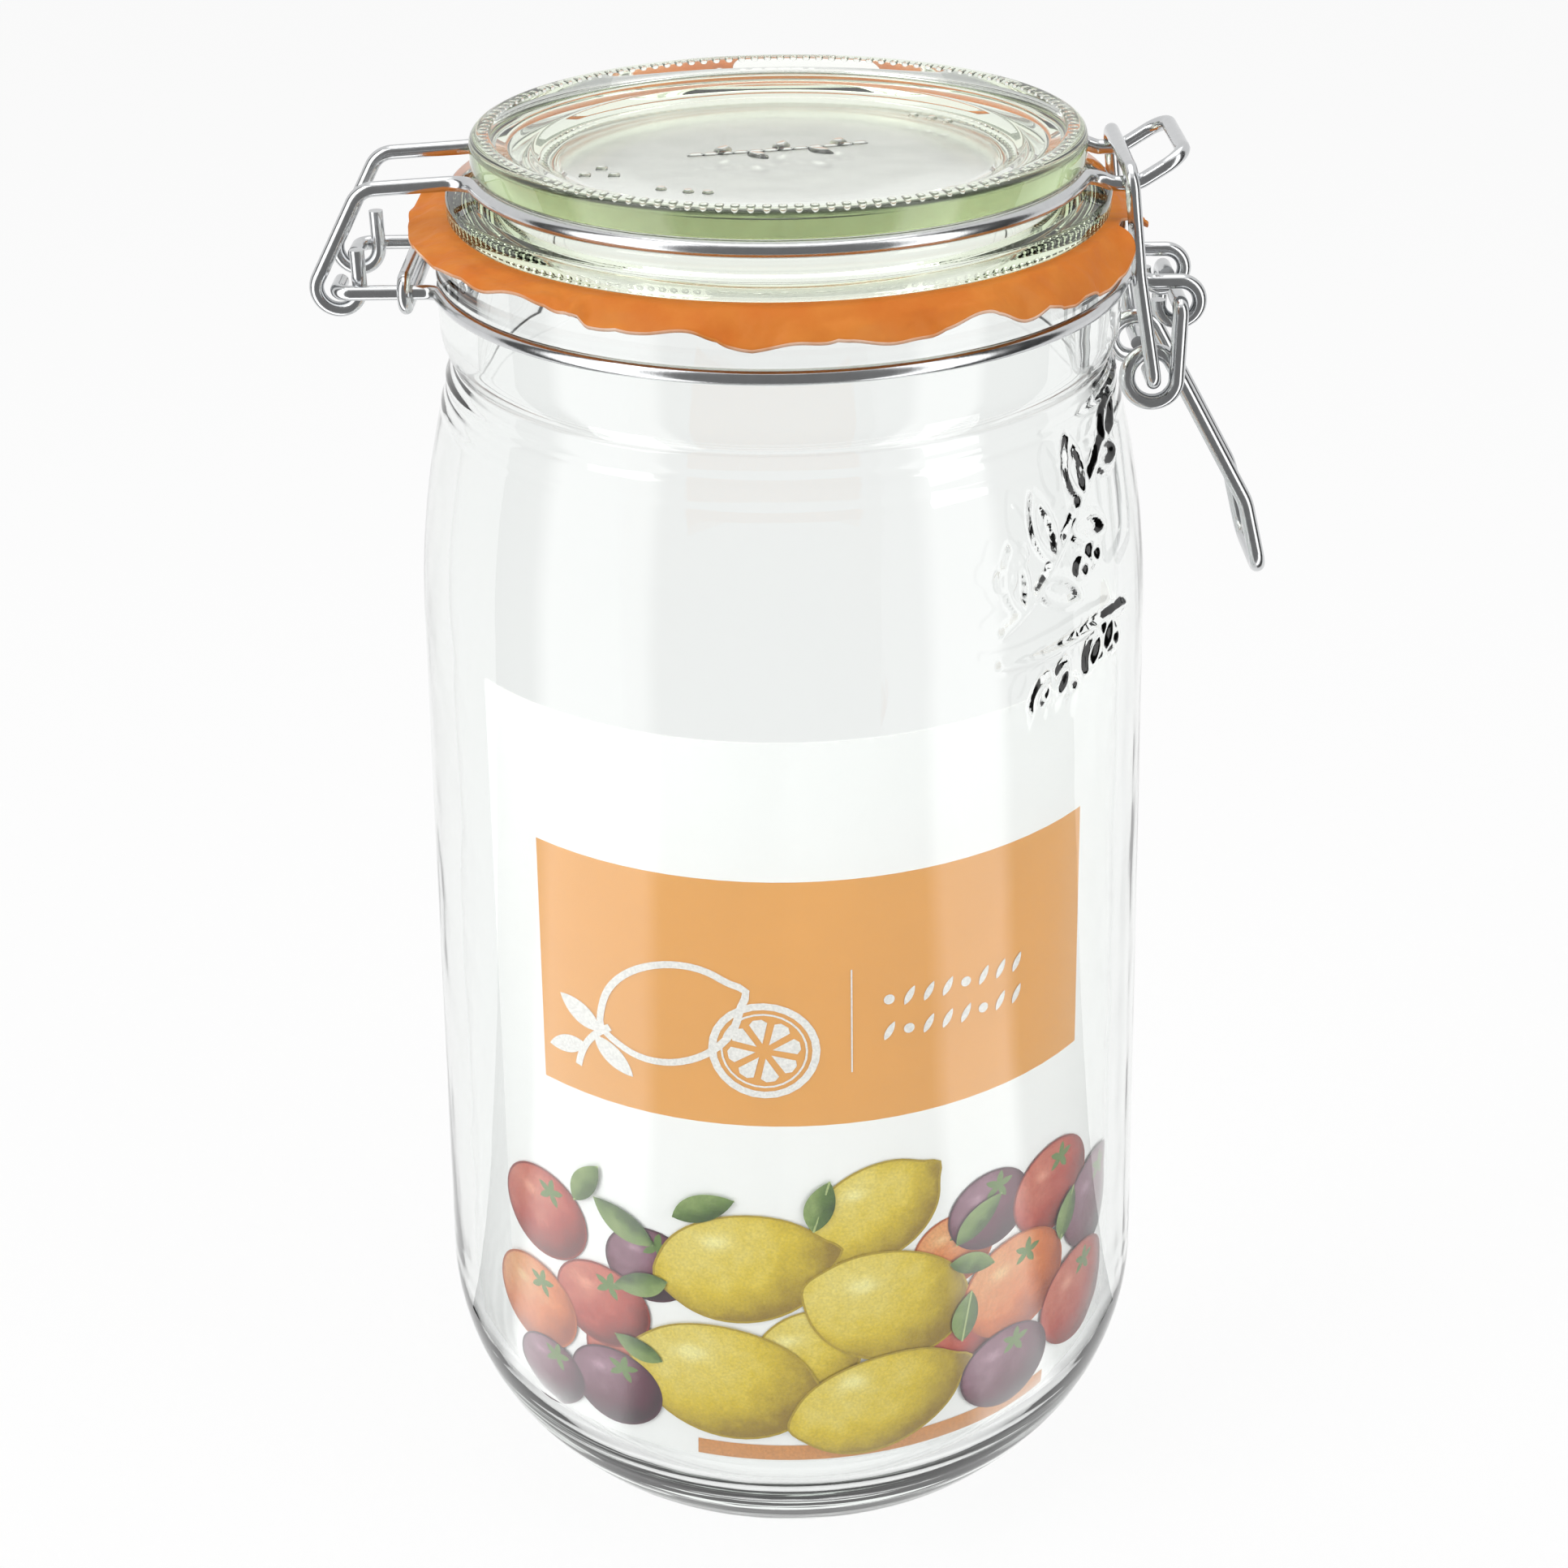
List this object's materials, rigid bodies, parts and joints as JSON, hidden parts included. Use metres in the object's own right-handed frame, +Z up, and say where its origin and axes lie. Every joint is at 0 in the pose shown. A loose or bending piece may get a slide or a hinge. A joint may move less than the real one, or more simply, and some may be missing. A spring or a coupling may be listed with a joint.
{
  "type": "clip-top jar",
  "caption": "Tall glass preserving jar with a glass lid held by a bent-wire bail hinge and a lever clasp, an orange sealing ring, and a printed paper insert.",
  "frame": {"origin": "middle of the foot ring, on the jar's axis, on the surface that it stands on", "axes": "+Z up, +X towards the clasp, -X towards the hinge, -Y to the front of the picture"},
  "size_m": [0.132, 0.1124, 0.216],
  "materials": {
    "glass": "clear pressed glass",
    "seal_rubber": "soft, slightly worn rubber",
    "wire": "bright zinc-plated round wire",
    "paper": "printed paper, seen through the glass"
  },
  "bodies": {
    "jar": {"jar_glass": "glass", "neck_wire_near": "wire", "neck_wire_far": "wire", "tie_ring": "wire", "paper_insert": "paper"},
    "lid": {"lid_glass": "glass", "lid_wire": "wire", "seal": "seal_rubber"},
    "lever": {"lever": "wire"},
    "clasp": {"clasp": "wire"}
  },
  "joints": [
    {"name": "lid_hinge", "type": "hinge", "parent": "jar", "child": "lid", "pos_m": [-0.0591, 0, 0.197], "axis": [0, -1, 0], "range_deg": [0, 180]},
    {"name": "lever_pivot", "type": "hinge", "parent": "jar", "child": "lever", "pos_m": [0.0539, 0, 0.1931], "axis": [0, -1, 0], "range_deg": [0, 84]},
    {"name": "clasp_pivot", "type": "hinge", "parent": "lever", "child": "clasp", "pos_m": [0.0506, 0, 0.1829], "axis": [0, -1, 0], "range_deg": [-147, 0]}
  ],
  "couplings": [
    {"joint": "lever_pivot", "follows": "lid_hinge", "ratio": 0.46667},
    {"joint": "clasp_pivot", "follows": "lid_hinge", "ratio": -0.81667}
  ]
}
